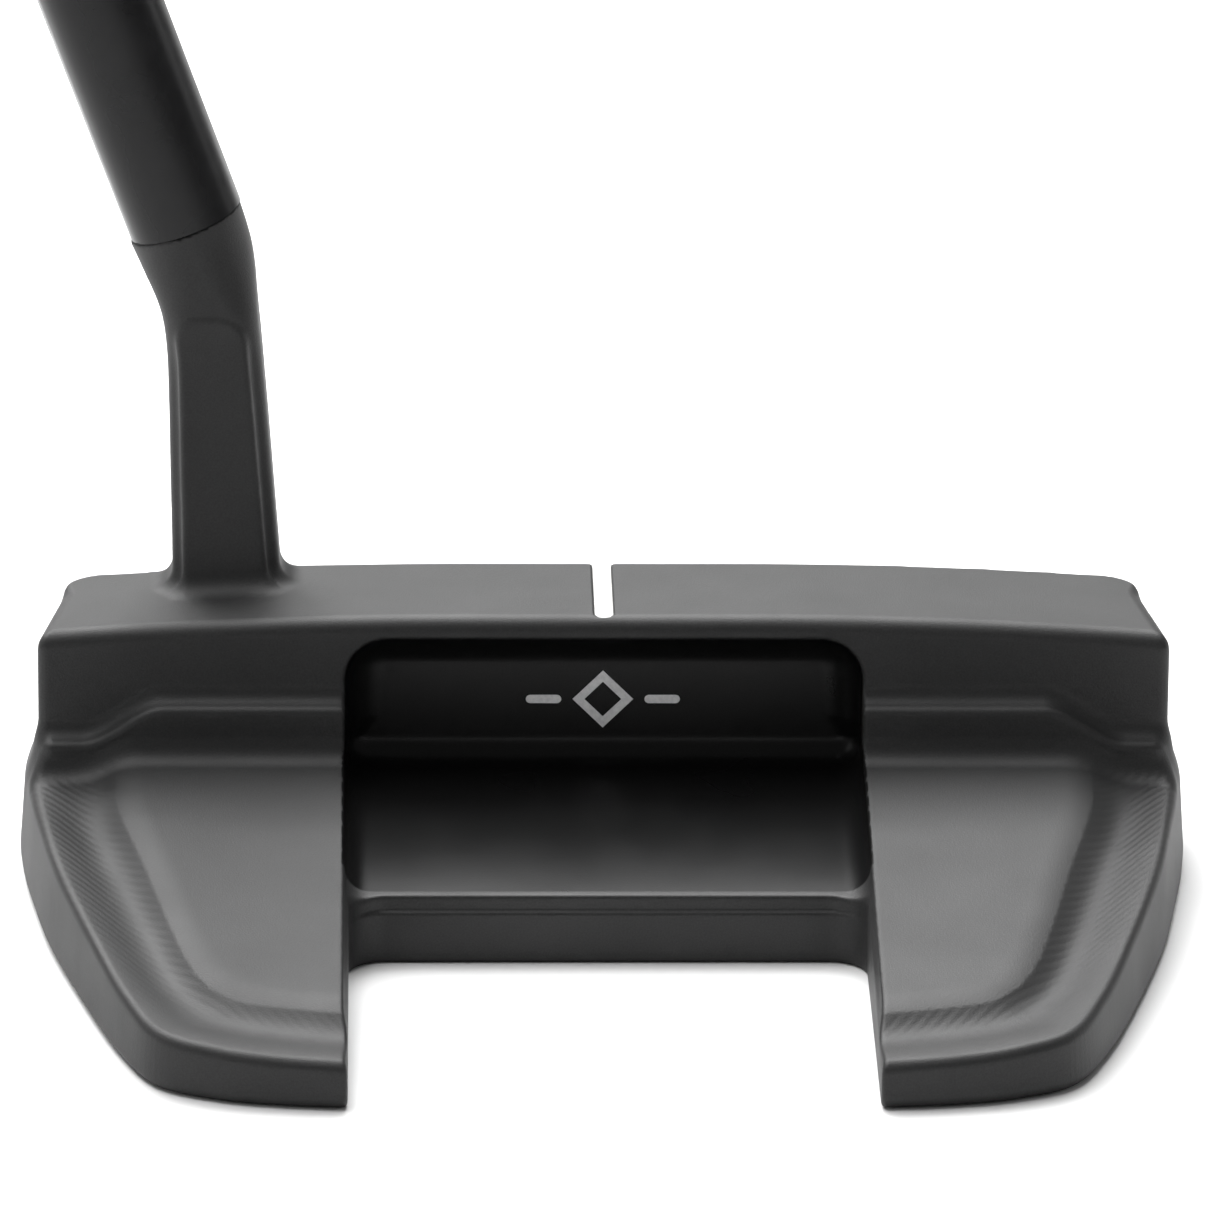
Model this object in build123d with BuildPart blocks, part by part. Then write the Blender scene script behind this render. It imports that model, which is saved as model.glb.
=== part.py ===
from build123d import *
import math
import os

# Mallet putter, right-handed.
# Frame: +X towards the toe, +Y towards the target, +Z up. The origin lies on the flat sole, under the
# sight line and 20 mm behind the top edge of the face. All lengths are in mm and angles in degrees.

os.makedirs("parts", exist_ok=True)

# ---- Club ----
club_length = 863.6
lie_angle = 70.0
loft_angle = 3.0

# ---- Blade ----
face_top_y = 20.0
blade_height = 23.0
blade_back_y = 5.4
blade_half_width = 48.5
blade_corner_half_width = 43.8
crown_flat_half = 18.0
crown_drop = 1.35
top_rear_radius = 1.5
leading_radius = 0.8
sole_flat_half = 42.0
sole_end_rise = 1.6

# ---- Shelf along the foot of the blade's back ----
shelf_rear_y = 3.6
shelf_height = 15.4
shelf_end_height = 12.2
shelf_flat_half = 38.5
shelf_end_start = 45.0

# ---- Wings ----
wing_half_width = 50.6
wing_rear_y = -50.0
wing_draft = 4.0
wing_top_slope = 0.1122
wing_top_at_origin = 10.5
land_depth = 0.9
sole_edge_relief = 0.9

# ---- Slot and centre ----
slot_half_width = 22.0
pocket_half_width = 22.3
slot_front_y = -17.0
slot_corner_radius = 3.3
panel_y = 9.6
pocket_top = 21.0
pocket_corner_radius = 3.7
centre_floor_front = 9.2
centre_floor_rear = 6.0

# ---- Sight line and cavity mark ----
sight_width = 1.6
sight_depth = 0.8
sight_fill = 0.45
sight_rear_y = 7.2
mark_depth = 0.3
mark_fill = 0.25
mark_centre_z = 14.1
mark_half_width = 6.7
diamond_half = 2.65
diamond_wall = 0.75
bar_start = 3.6
bar_height = 0.8

# ---- Neck and shaft ----
shaft_y = 21.5
shaft_foot_x = -16.5
joint_distance = 57.5
shaft_tip_diameter = 10.1
shaft_butt_diameter = 14.7
shaft_taper_length = 600.0
shaft_wall = 0.5
post_diameter = 8.8
post_length = 28.0
neck_base_z = 21.0
neck_bend_z = 44.5

# ---- Sole weights ----
weight_x = 34.0
weight_y = 8.0
flange_diameter = 15.8
flange_thickness = 2.4
flange_recess = 0.4
shank_diameter = 9.9
shank_length = 4.6
thread_bore = 10.0
flange_bore = 16.0
washer_thickness = 0.5
washer_outer = 15.6
washer_inner = 10.4
drive_across_flats = 5.0
drive_depth = 3.6

# ---- Recess in the sole ----
recess_depth = 3.0
recess_front_y = -3.5
recess_rear_y = -45.0
recess_bridge_y = -13.0
recess_inner_x = 26.0

# ---- Grip ----
grip_length = 267.0
cap_thickness = 3.0
tape_thickness = 0.15
band_start = 520.0
band_length = 38.0
band_thickness = 0.12
vent_diameter = 3.0
spigot_length = 6.0
# Each station: distance from the ground, width, depth, reach behind the axis, front corner radius.
grip_stations = (
    (club_length - grip_length, 20.0, 20.4, 10.2, 6.0),
    (640, 21.5, 22.0, 10.8, 5.5),
    (710, 23.4, 24.6, 12.4, 5.0),
    (775, 25.0, 27.5, 15.0, 5.0),
    (812, 25.8, 29.4, 16.8, 5.0),
    (842, 26.2, 28.2, 15.4, 5.0),
    (club_length - cap_thickness, 25.6, 27.0, 14.3, 5.0),
)

# ---- Worked out from the above ----
lie = math.radians(lie_angle)
shaft_plane = Plane(
    origin=(shaft_foot_x, shaft_y, 0),
    x_dir=(math.sin(lie), 0, math.cos(lie)),
    z_dir=(-math.cos(lie), 0, math.sin(lie)),
)
wing_top_tilt = math.atan(wing_top_slope)
wing_top = Plane(
    origin=(0, 0, wing_top_at_origin),
    x_dir=(1, 0, 0),
    z_dir=(0, -math.sin(wing_top_tilt), math.cos(wing_top_tilt)),
)
centre_floor_slope = (centre_floor_front - centre_floor_rear) / (panel_y - slot_front_y)
centre_floor_tilt = math.atan(centre_floor_slope)
centre_floor = Plane(
    origin=(0, slot_front_y, centre_floor_rear),
    x_dir=(1, 0, 0),
    z_dir=(0, -math.sin(centre_floor_tilt), math.cos(centre_floor_tilt)),
)
panel = Plane.XZ.offset(-panel_y)
shaft_profile = Plane(origin=shaft_plane.origin, x_dir=shaft_plane.x_dir, z_dir=(0, -1, 0))
shaft_axis = Axis(shaft_plane.origin, shaft_plane.z_dir)
bore_depth = flange_recess + flange_thickness + washer_thickness
sleeve_start = club_length - grip_length
sleeve_end = club_length - cap_thickness
taper_end = joint_distance + shaft_taper_length
both_sides = (1, -1)


def shaft_radius(distance):
    """Outer radius of the tapered tube at a distance up the shaft axis from the ground."""
    share = min(max((distance - joint_distance) / shaft_taper_length, 0), 1)
    return (shaft_tip_diameter + (shaft_butt_diameter - shaft_tip_diameter) * share) / 2


def along_shaft(distance):
    """The plane across the shaft at that distance from the ground; its x points away from the player."""
    return shaft_plane.offset(distance)


def grip_section(width, depth, back, corner):
    """A grip section: a flat front with two round corners and a round back, drawn as one hull."""
    front = depth - back
    with Locations((-back + width / 2, 0)):
        Circle(width / 2)
    for side in both_sides:
        with Locations((front - corner, side * (width / 2 - corner - 0.6))):
            Circle(corner)
    make_hull()


def mark_outline():
    """The cavity mark: a hollow diamond between two level bars, centred on the panel."""
    with Locations((0, mark_centre_z)):
        RegularPolygon(diamond_half, 4)
        RegularPolygon(diamond_half - diamond_wall * math.sqrt(2), 4, mode=Mode.SUBTRACT)
    bar_length = mark_half_width - bar_start
    for side in both_sides:
        with Locations((side * (bar_start + bar_length / 2), mark_centre_z)):
            SlotOverall(bar_length, bar_height)


def sight_outline(rear_y):
    """The sight line in plan: open at the face and round at its rear end."""
    with Locations((0, (face_top_y + 2 + rear_y) / 2)):
        Rectangle(sight_width, face_top_y + 2 - rear_y)
    with Locations((0, rear_y)):
        Circle(sight_width / 2)


def shaft_section(*points):
    """A closed profile beside the shaft axis, given as (radius, distance up the shaft)."""
    with BuildSketch(shaft_profile) as section:
        with BuildLine():
            Polyline(*points, close=True)
        make_face()
    return section.sketch


# ---- Form of the blade ----
with BuildPart() as blade:
    face_foot_y = face_top_y + blade_height * math.tan(math.radians(loft_angle))
    with BuildSketch(Plane.XY):
        with BuildLine():
            front = Line((0, face_foot_y), (blade_corner_half_width, face_foot_y))
            slant = Line(front @ 1, (46.5, face_top_y - 3.4))
            end = Line(slant @ 1, (blade_half_width, blade_back_y))
            Line(end @ 1, (0, blade_back_y))
            mirror(about=Plane.YZ)
        make_face()
    extrude(amount=blade_height + 1, dir=(0, 0, 1))
    fillet(blade.edges().filter_by(Axis.Z).group_by(Axis.Y)[-1], radius=2.2)
    fillet(blade.edges().filter_by(Axis.Z).group_by(Axis.Y)[0], radius=1.0)

    # Front view: the top line is level in the middle and falls a little towards both ends.
    with BuildSketch(Plane.XZ):
        with BuildLine():
            level = Line((0, blade_height), (crown_flat_half, blade_height))
            crown = ThreePointArc(
                level @ 1,
                (35.2, blade_height - 0.5),
                (52, blade_height - crown_drop - 0.55),
            )
            down = Line(crown @ 1, (52, sole_end_rise))
            toe_rise = Line(down @ 1, (sole_flat_half, 0))
            Line(toe_rise @ 1, (0, 0))
            mirror(about=Plane.YZ)
        make_face()
    extrude(amount=60, both=True, mode=Mode.INTERSECT)

    # Rounded edge round the rear and the ends of the top line.
    top_edges = blade.edges().filter_by_position(Axis.Z, blade_height - 3, blade_height + 1)
    fillet([edge for edge in top_edges if edge.center().Y < face_top_y - 4], radius=top_rear_radius)

    # Lofted hitting face.
    with BuildSketch(Plane.YZ):
        with BuildLine():
            Polyline(
                (face_top_y, blade_height + 1),
                (face_top_y, blade_height),
                (face_foot_y, 0),
                (face_top_y + 8, 0),
                (face_top_y + 8, blade_height + 1),
                close=True,
            )
        make_face()
    extrude(amount=60, both=True, mode=Mode.SUBTRACT)
    leading_edge = blade.edges().filter_by_position(Axis.Z, -0.1, sole_end_rise + 0.1)
    fillet(leading_edge.filter_by_position(Axis.Y, face_top_y, face_top_y + 4), radius=leading_radius)

# ---- Form of the neck: a slanted bar that grows round where it meets the shaft ----
with BuildPart() as neck:
    with BuildSketch(Plane.XY.offset(neck_base_z)):
        with Locations((-32.4, face_top_y - 3.7)):
            RectangleRounded(9.3, 5.8, 1.2)
    with BuildSketch(Plane.XY.offset(33)):
        with Locations((-32.96, face_top_y - 1.6)):
            RectangleRounded(8.6, 6.9, 1.4)
    with BuildSketch(Plane.XY.offset(neck_bend_z)) as bend:
        with Locations((-33.75, face_top_y + 0.8)):
            RectangleRounded(8.0, 8.4, 1.8)
    loft()
    add(bend.sketch)
    with BuildSketch(along_shaft(joint_distance)):
        Circle(shaft_tip_diameter / 2)
    loft()
    # Hosel post, which stands inside the shaft.
    with BuildSketch(along_shaft(joint_distance)):
        Circle(post_diameter / 2)
    extrude(amount=post_length)
    chamfer(neck.faces().sort_by(shaft_axis)[-1].edges(), length=0.8)

# ---- Form of the room cut above the central floor and in front of the panel ----
with BuildPart() as centre_room:
    with BuildSketch(panel):
        with Locations((0, pocket_top - 12)):
            Rectangle(2 * pocket_half_width, 24)
        fillet(vertices().group_by(Axis.Z)[-1], radius=pocket_corner_radius)
    extrude(amount=70)
    split(bisect_by=centre_floor, keep=Keep.TOP)
    fillet(centre_room.faces().sort_by(Axis.Y)[-1].edges(), radius=1.3)

# ---- Head: blade, wings, neck and hosel post, all one piece of steel ----
with BuildPart() as putter_head:
    # Wings: the plan outline, drafted inwards as it rises, with a relieved lower edge.
    with BuildSketch(Plane.XY.offset(sole_edge_relief)) as wing_plan:
        with BuildLine():
            rear = Line((0, wing_rear_y), (slot_half_width, wing_rear_y))
            chord = Line(rear @ 1, (34.4, -48.7))
            corner = ThreePointArc(chord @ 1, (38.6, -45.4), (41.0, -39.6))
            flank = ThreePointArc(corner @ 1, (43.4, -32.2), (45.8, -22.5))
            side = ThreePointArc(flank @ 1, (48.7, -8.6), (wing_half_width - 0.2, 4))
            shoulder = ThreePointArc(side @ 1, (wing_half_width - 0.4, 10.4), (48.6, 13))
            Line(shoulder @ 1, (0, 13))
            mirror(about=Plane.YZ)
        make_face()
    extrude(amount=12.5, taper=wing_draft)
    extrude(wing_plan.sketch, amount=-sole_edge_relief, taper=45)

    # Upper surface of the wings: a plane that falls towards the rear.
    with BuildSketch(wing_top):
        Rectangle(120, 140)
    extrude(amount=20, mode=Mode.SUBTRACT)

    # Lower land outside the raised plateau of each wing.
    with BuildSketch(wing_top.offset(-land_depth)):
        Rectangle(120, 140)
        with BuildLine():
            Polyline(
                (0, 14),
                (41.0, 14),
                (40.4, -3),
                (37.8, -15.5),
                (35.4, -27.5),
                (33.6, -34.5),
                (29.5, -39.6),
                (22.0, -41.5),
                (0, -41.5),
            )
            mirror(about=Plane.YZ)
        make_face(mode=Mode.SUBTRACT)
    extrude(amount=20, mode=Mode.SUBTRACT)

    # Blade, and the shelf along the foot of its back, whose ends drop to the lower land.
    add(blade.part)
    with BuildSketch(Plane.XZ.offset(-shelf_rear_y)):
        with BuildLine():
            top = Line((0, shelf_height), (shelf_flat_half, shelf_height))
            fall = Spline(
                top @ 1,
                (shelf_end_start, shelf_end_height),
                tangents=((1, 0), (1, 0)),
            )
            end = Line(fall @ 1, (blade_half_width, shelf_end_height))
            down = Line(end @ 1, (blade_half_width, 3))
            Line(down @ 1, (0, 3))
            mirror(about=Plane.YZ)
        make_face()
    extrude(amount=-4)
    add(neck.part)

    # Back panel, central floor, and the open slot behind them.
    add(centre_room.part, mode=Mode.SUBTRACT)
    with BuildSketch(Plane.XY.offset(-1)):
        with Locations((0, slot_front_y - 30)):
            Rectangle(2 * slot_half_width, 60)
        fillet(vertices().group_by(Axis.Y)[-1], radius=slot_corner_radius)
    extrude(amount=40, mode=Mode.SUBTRACT)

    # Shallow recess in the sole, under both wings and the centre.
    with BuildSketch(Plane.XY):
        with BuildLine():
            bridge = Line((0, recess_bridge_y), (recess_inner_x, recess_bridge_y))
            inner = Line(bridge @ 1, (recess_inner_x, recess_rear_y))
            back = Line(inner @ 1, (33.0, recess_rear_y + 0.8))
            outer = ThreePointArc(back @ 1, (39.4, -26), (44.0, recess_front_y))
            Line(outer @ 1, (0, recess_front_y))
            mirror(about=Plane.YZ)
        make_face()
        fillet(vertices().filter_by_position(Axis.X, 1, 60), radius=2.0)
        fillet(vertices().filter_by_position(Axis.X, -60, -1), radius=2.0)
    extrude(amount=recess_depth, mode=Mode.SUBTRACT)

    # Grooves for the paint of the sight line and of the mark.
    with BuildSketch(Plane.XY.offset(blade_height - sight_depth)):
        sight_outline(sight_rear_y)
    extrude(amount=5, mode=Mode.SUBTRACT)
    with BuildSketch(panel):
        mark_outline()
    extrude(amount=-mark_depth, mode=Mode.SUBTRACT)

    # Counterbored and tapped holes for the sole weights.
    for side in both_sides:
        with BuildSketch(Plane.XY):
            with Locations((side * weight_x, weight_y)):
                Circle(flange_bore / 2)
        extrude(amount=bore_depth, mode=Mode.SUBTRACT)
        with BuildSketch(Plane.XY):
            with Locations((side * weight_x, weight_y)):
                Circle(thread_bore / 2)
        extrude(amount=bore_depth + shank_length + 0.6, mode=Mode.SUBTRACT)
putter_head.part.label = "putter_head"
export_step(putter_head.part, "parts/putter_head.step")

# ---- Paint in the sight line ----
with BuildPart() as sight_line_fill:
    with BuildSketch(Plane.XY.offset(blade_height - sight_depth)):
        sight_outline(sight_rear_y)
    extrude(amount=sight_fill)
    with BuildSketch(Plane.XZ.offset(-face_top_y)):
        Rectangle(10, 60)
    extrude(amount=-5, mode=Mode.SUBTRACT)
sight_line_fill.part.label = "sight_line_fill"
export_step(sight_line_fill.part, "parts/sight_line_fill.step")

# ---- Paint in the mark ----
with BuildPart() as cavity_mark_fill:
    with BuildSketch(panel.offset(-mark_depth)):
        mark_outline()
    extrude(amount=mark_fill)
cavity_mark_fill.part.label = "cavity_mark_fill"
export_step(cavity_mark_fill.part, "parts/cavity_mark_fill.step")

# ---- Sole weights and their washers ----
for weight_name, side in (("heel", -1), ("toe", 1)):
    with BuildPart() as sole_weight:
        with BuildSketch(Plane.XY.offset(flange_recess)):
            with Locations((side * weight_x, weight_y)):
                Circle(flange_diameter / 2)
        extrude(amount=flange_thickness)
        chamfer(sole_weight.edges().group_by(Axis.Z)[0], length=0.4)
        with BuildSketch(Plane.XY.offset(flange_recess + flange_thickness)):
            with Locations((side * weight_x, weight_y)):
                Circle(shank_diameter / 2)
        extrude(amount=washer_thickness + shank_length)
        chamfer(sole_weight.edges().group_by(Axis.Z)[-1], length=0.6)
        with BuildSketch(Plane.XY.offset(flange_recess)):
            with Locations((side * weight_x, weight_y)):
                RegularPolygon(drive_across_flats / 2, 6, major_radius=False)
        extrude(amount=drive_depth, mode=Mode.SUBTRACT)
    sole_weight.part.label = weight_name + "_weight"
    export_step(sole_weight.part, "parts/" + weight_name + "_weight.step")

    with BuildPart() as washer:
        with BuildSketch(Plane.XY.offset(flange_recess + flange_thickness)):
            with Locations((side * weight_x, weight_y)):
                Circle(washer_outer / 2)
                Circle(washer_inner / 2, mode=Mode.SUBTRACT)
        extrude(amount=washer_thickness)
    washer.part.label = weight_name + "_weight_washer"
    export_step(washer.part, "parts/" + weight_name + "_weight_washer.step")

# ---- Adhesive between the hosel post and the shaft ----
with BuildPart() as hosel_adhesive:
    glue_end = joint_distance + post_length - 1
    profile = shaft_section(
        (post_diameter / 2, joint_distance),
        (shaft_radius(joint_distance) - shaft_wall, joint_distance),
        (shaft_radius(glue_end) - shaft_wall, glue_end),
        (post_diameter / 2, glue_end),
    )
    revolve(profile, axis=shaft_axis)
hosel_adhesive.part.label = "hosel_adhesive"
export_step(hosel_adhesive.part, "parts/hosel_adhesive.step")

# ---- Shaft: a stepless tapered tube ----
with BuildPart() as shaft_tube:
    profile = shaft_section(
        (shaft_radius(joint_distance), joint_distance),
        (shaft_radius(taper_end), taper_end),
        (shaft_radius(taper_end), sleeve_end),
        (shaft_radius(taper_end) - shaft_wall, sleeve_end),
        (shaft_radius(taper_end) - shaft_wall, taper_end),
        (shaft_radius(joint_distance) - shaft_wall, joint_distance),
    )
    revolve(profile, axis=shaft_axis)
shaft_tube.part.label = "shaft_tube"
export_step(shaft_tube.part, "parts/shaft_tube.step")

# ---- Plain band label on the shaft ----
with BuildPart() as shaft_band:
    band_end = band_start + band_length
    profile = shaft_section(
        (shaft_radius(band_start), band_start),
        (shaft_radius(band_start) + band_thickness, band_start),
        (shaft_radius(band_end) + band_thickness, band_end),
        (shaft_radius(band_end), band_end),
    )
    revolve(profile, axis=shaft_axis)
shaft_band.part.label = "shaft_band"
export_step(shaft_band.part, "parts/shaft_band.step")

# ---- Double-sided tape under the grip ----
with BuildPart() as grip_tape:
    tape_start = sleeve_start + 3
    profile = shaft_section(
        (shaft_radius(tape_start), tape_start),
        (shaft_radius(tape_start) + tape_thickness, tape_start),
        (shaft_radius(taper_end) + tape_thickness, taper_end),
        (shaft_radius(taper_end) + tape_thickness, sleeve_end - 1),
        (shaft_radius(taper_end), sleeve_end - 1),
        (shaft_radius(taper_end), taper_end),
    )
    revolve(profile, axis=shaft_axis)
grip_tape.part.label = "grip_tape"
export_step(grip_tape.part, "parts/grip_tape.step")

# ---- Grip sleeve: flat front, round back, fuller behind the upper hand ----
with BuildPart() as grip_sleeve:
    for distance, width, depth, back, corner in grip_stations:
        with BuildSketch(along_shaft(distance)):
            grip_section(width, depth, back, corner)
    loft()
    fillet(grip_sleeve.faces().sort_by(shaft_axis)[0].edges(), radius=1.0)
    bore = shaft_section(
        (0, sleeve_start - 1),
        (shaft_radius(sleeve_start) + tape_thickness, sleeve_start - 1),
        (shaft_radius(taper_end) + tape_thickness, taper_end),
        (shaft_radius(taper_end) + tape_thickness, sleeve_end + 1),
        (0, sleeve_end + 1),
    )
    revolve(bore, axis=shaft_axis, mode=Mode.SUBTRACT)
grip_sleeve.part.label = "grip_sleeve"
export_step(grip_sleeve.part, "parts/grip_sleeve.step")

# ---- Grip end cap, with a spigot in the shaft and a vent hole ----
with BuildPart() as grip_end_cap:
    with BuildSketch(along_shaft(sleeve_end)):
        grip_section(*grip_stations[-1][1:])
    extrude(amount=cap_thickness)
    fillet(grip_end_cap.faces().sort_by(shaft_axis)[-1].edges(), radius=1.4)
    with BuildSketch(along_shaft(sleeve_end)):
        Circle(shaft_radius(taper_end) - shaft_wall - 0.03)
    extrude(amount=-spigot_length)
    with BuildSketch(along_shaft(club_length)):
        Circle(vent_diameter / 2)
    extrude(amount=-20, mode=Mode.SUBTRACT)
grip_end_cap.part.label = "grip_end_cap"
export_step(grip_end_cap.part, "parts/grip_end_cap.step")
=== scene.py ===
import math

import bpy
import numpy as np
from mathutils import Matrix, Vector
from mathutils.geometry import delaunay_2d_cdt


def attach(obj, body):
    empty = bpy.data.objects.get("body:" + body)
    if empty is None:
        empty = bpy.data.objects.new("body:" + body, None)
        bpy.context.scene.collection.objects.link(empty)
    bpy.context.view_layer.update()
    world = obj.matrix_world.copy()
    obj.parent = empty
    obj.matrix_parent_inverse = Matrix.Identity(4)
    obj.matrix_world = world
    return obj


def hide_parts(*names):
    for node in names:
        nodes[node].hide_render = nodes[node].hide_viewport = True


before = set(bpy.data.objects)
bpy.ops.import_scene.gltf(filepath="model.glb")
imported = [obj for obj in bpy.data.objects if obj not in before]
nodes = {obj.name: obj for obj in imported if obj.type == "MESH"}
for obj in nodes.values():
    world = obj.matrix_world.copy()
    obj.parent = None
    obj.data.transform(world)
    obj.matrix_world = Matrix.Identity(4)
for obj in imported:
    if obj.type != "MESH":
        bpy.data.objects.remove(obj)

# Mallet putter: the looks. Shapes are worked out in millimetres in the CAD frame (+X toe, +Y target,
# +Z up) and turned into metres when a mesh is made.

MM = 0.001
scene = bpy.context.scene
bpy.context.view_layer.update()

# ------------------------------------------------------------------ driving sizes, in mm
# Blade
face_top_y = 20.0
blade_height = 23.0
blade_back_y = 5.4
loft = math.radians(3.0)
crown_level_half = 12.0
crown_fall = 0.00111
blade_end_half = 47.05
blade_end_y = 16.7
blade_end_facing = (0.9847, 0.1743)
face_corner_radius = 2.6
back_corner_radius = 1.0
crown_back_radius = 1.5
crown_front_radius = 0.35
face_edge_radius = 0.4

# Shelf along the foot of the blade's back
shelf_y = 3.6
shelf_height = 15.4
shelf_end_height = 12.2
shelf_edge_radius = 0.65
shelf_foot_radius = 2.0
blade_foot_radius = 1.7

# Wings. The cosine is that of a usual slope of the wings and the neck.
slope_cosine = 0.97
plateau_height = 10.5
plateau_slope = 0.1122
roll_over = 1.8
cove_depth = 5.4
cove_lean = 0.9
cove_back_slope = 0.75
rear_corner_x = 34.0
rear_rim_tilt = 0.045
rim_inset = 0.6
rim_radius = 0.8
wall_draft = 0.075
shoulder_inset = 1.15
toe_shift = 0.2

# Passes of the ball cutter in the coves
pass_direction = (0.77, 0.64)
pass_pitch = 0.74
pass_depth = 0.010

# Slot, and the room above the central floor
slot_half = 22.0
slot_y = -16.95
slot_corner = 3.3
slot_edge_radius = 0.42
lip_height = 1.3
lip_setback = 0.35
room_half = 22.35
room_roof = 21.0
room_roof_radius = 3.7
room_side_radius = 2.2
room_edge_radius = 0.35
panel_y = 9.6
floor_rear = 6.0
floor_slope = 0.101
floor_cosine = 0.992

# Sight line and cavity mark
sight_half = 0.8
sight_depth = 0.8
sight_rear_y = 7.2
mark_z = 14.1
mark_depth = 0.3
diamond_outer = 2.65
diamond_inner = diamond_outer - 0.75 * math.sqrt(2)
bar_from = 4.0
bar_to = 6.3
bar_radius = 0.4
mark_window_half = 8.2
mark_window_height = 3.3
panel_tolerance = 0.01

# Thinning of the head's mesh
flat_cosine = 0.99999
thin_ratio = 0.42

# Sole
sole_level_half = 42.0
sole_end_slope = 0.16
sole_edge_radius = 1.1
recess_front_y = -3.5
recess_rear_y = -45.0
recess_bridge_y = -13.0
recess_inner_half = 26.0
recess_outer_half = 44.0
recess_outer_curve = 0.0066
recess_depth = 3.0

# Weights and their holes
weight_x = 34.0
weight_y = 8.0
counterbore_radius = 8.0
counterbore_depth = 3.3
thread_radius = 5.0
thread_depth = 8.5
thread_pitch = 1.0
flange_radius = 7.9
socket_half = 2.5

# Neck and shaft
lie = math.radians(70.0)
shaft_foot = np.array([-16.5, 21.5, 0.0])
shaft_dir = np.array([-math.cos(lie), 0.0, math.sin(lie)])
shaft_across = np.array([math.sin(lie), 0.0, math.cos(lie)])
joint_distance = 57.5
neck_foot_z = 19.0
neck_foot_radius = 1.9
neck_panel_top = 46.6
neck_panel_inset = 1.0
neck_panel_rise = 0.9

# Grip and band
club_length = 863.6
band_start = 520
band_end = 558
shaft_taper_end = 657.5
shaft_butt_radius = 7.35
shaft_taper = 2.3 / 600
tape_thickness = 0.15
cap_plug_length = 6.0
sleeve_butt_bore = 7.5
vent_radius = 1.5

# Plan of the right-hand wing's outer edge, and the height of its rim at each y.
WING_EDGE = (
    (44.0, 26.0),
    (49.2, 17.0),
    (50.66, 9.4),
    (50.2, 2.2),
    (49.25, -4.9),
    (47.5, -15.4),
    (44.2, -29.0),
    (41.3, -38.9),
    (38.3, -45.2),
    (33.4, -48.1),
    (28.2, -49.4),
    (22.0, -50.0),
    (16.0, -50.1),
)
RIM_Y = (-50.0, -48.3, -45.2, -38.9, -29.0, -15.4, -4.9, 2.2)
RIM_Z = (4.7, 5.0, 5.5, 6.3, 7.2, 8.0, 8.5, 8.8)
# Plan of the crease between the raised plateau and the cove outside it.
CREASE = (
    (42.6, 26.0),
    (42.4, 12.0),
    (42.1, 1.0),
    (41.7, -5.0),
    (39.4, -15.5),
    (37.2, -26.0),
    (35.4, -33.2),
    (33.3, -37.6),
    (30.2, -40.0),
    (22.0, -41.7),
    (16.0, -42.3),
)
# Neck: height, centre x, half width, centre y, half depth, corner radius.
NECK = (
    (20.0, -32.5, 4.87, 16.1, 2.9, 1.1),
    (26.1, -32.79, 4.62, 17.2, 3.1, 1.2),
    (33.0, -33.14, 4.4, 18.4, 3.4, 1.3),
    (38.2, -33.4, 4.23, 19.3, 3.7, 1.5),
    (43.3, -33.72, 4.1, 20.2, 4.1, 1.8),
    (46.75, -34.16, 4.22, 20.8, 4.5, 2.6),
    (50.2, -35.1, 4.9, 21.3, 4.9, 4.2),
    (53.0, -36.0, 5.3, 21.5, 5.05, 5.0),
    (58.0, -37.6, 5.37, 21.5, 5.05, 5.05),
)


# ------------------------------------------------------------------ distance fields
def round_and(a, b, r):
    """The overlap of two solids, with its convex edge rounded to radius r."""
    return np.minimum(np.maximum(a, b), -r) + np.hypot(np.maximum(a + r, 0), np.maximum(b + r, 0))


def round_or(a, b, r):
    """Two solids joined, with a concave fillet of radius r between them."""
    return np.maximum(np.minimum(a, b), r) - np.hypot(np.maximum(r - a, 0), np.maximum(r - b, 0))


def smooth_step(value, start, end):
    t = np.clip((value - start) / (end - start), 0, 1)
    return t * t * (3 - 2 * t)


def smooth_line(points, per_span=8):
    """A Catmull-Rom curve through the points, as an array of points."""
    p = np.array(points, float)
    p = np.vstack([2 * p[0] - p[1], p, 2 * p[-1] - p[-2]])
    t = np.linspace(0, 1, per_span, endpoint=False)[:, None]
    spans = []
    for i in range(1, len(p) - 2):
        a, b, c, d = p[i - 1], p[i], p[i + 1], p[i + 2]
        square, cube = 2 * a - 5 * b + 4 * c - d, 3 * b - a - 3 * c + d
        spans.append(0.5 * (2 * b + (c - a) * t + square * t**2 + cube * t**3))
    return np.vstack([*spans, p[-2:-1]])


def line_distance(x, y, line, with_height=False):
    """Signed distance from a line in plan, positive on its outer side, and the line's height there."""
    best = np.full(np.broadcast(x, y).shape, 1e9)
    side = np.zeros_like(best)
    height = np.zeros_like(best)
    for a, b in zip(line[:-1], line[1:]):
        dx, dy = b[0] - a[0], b[1] - a[1]
        t = np.clip(((x - a[0]) * dx + (y - a[1]) * dy) / (dx * dx + dy * dy), 0, 1)
        away = np.hypot(x - a[0] - t * dx, y - a[1] - t * dy)
        near = away < best - 1e-9
        best = np.where(near, away, best)
        side = np.where(near, (x - a[0]) * -dy + (y - a[1]) * dx, side)
        if with_height:
            height = np.where(near, a[2] + t * (b[2] - a[2]), height)
    return (np.where(side > 0, best, -best), height) if with_height else np.where(side > 0, best, -best)


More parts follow.
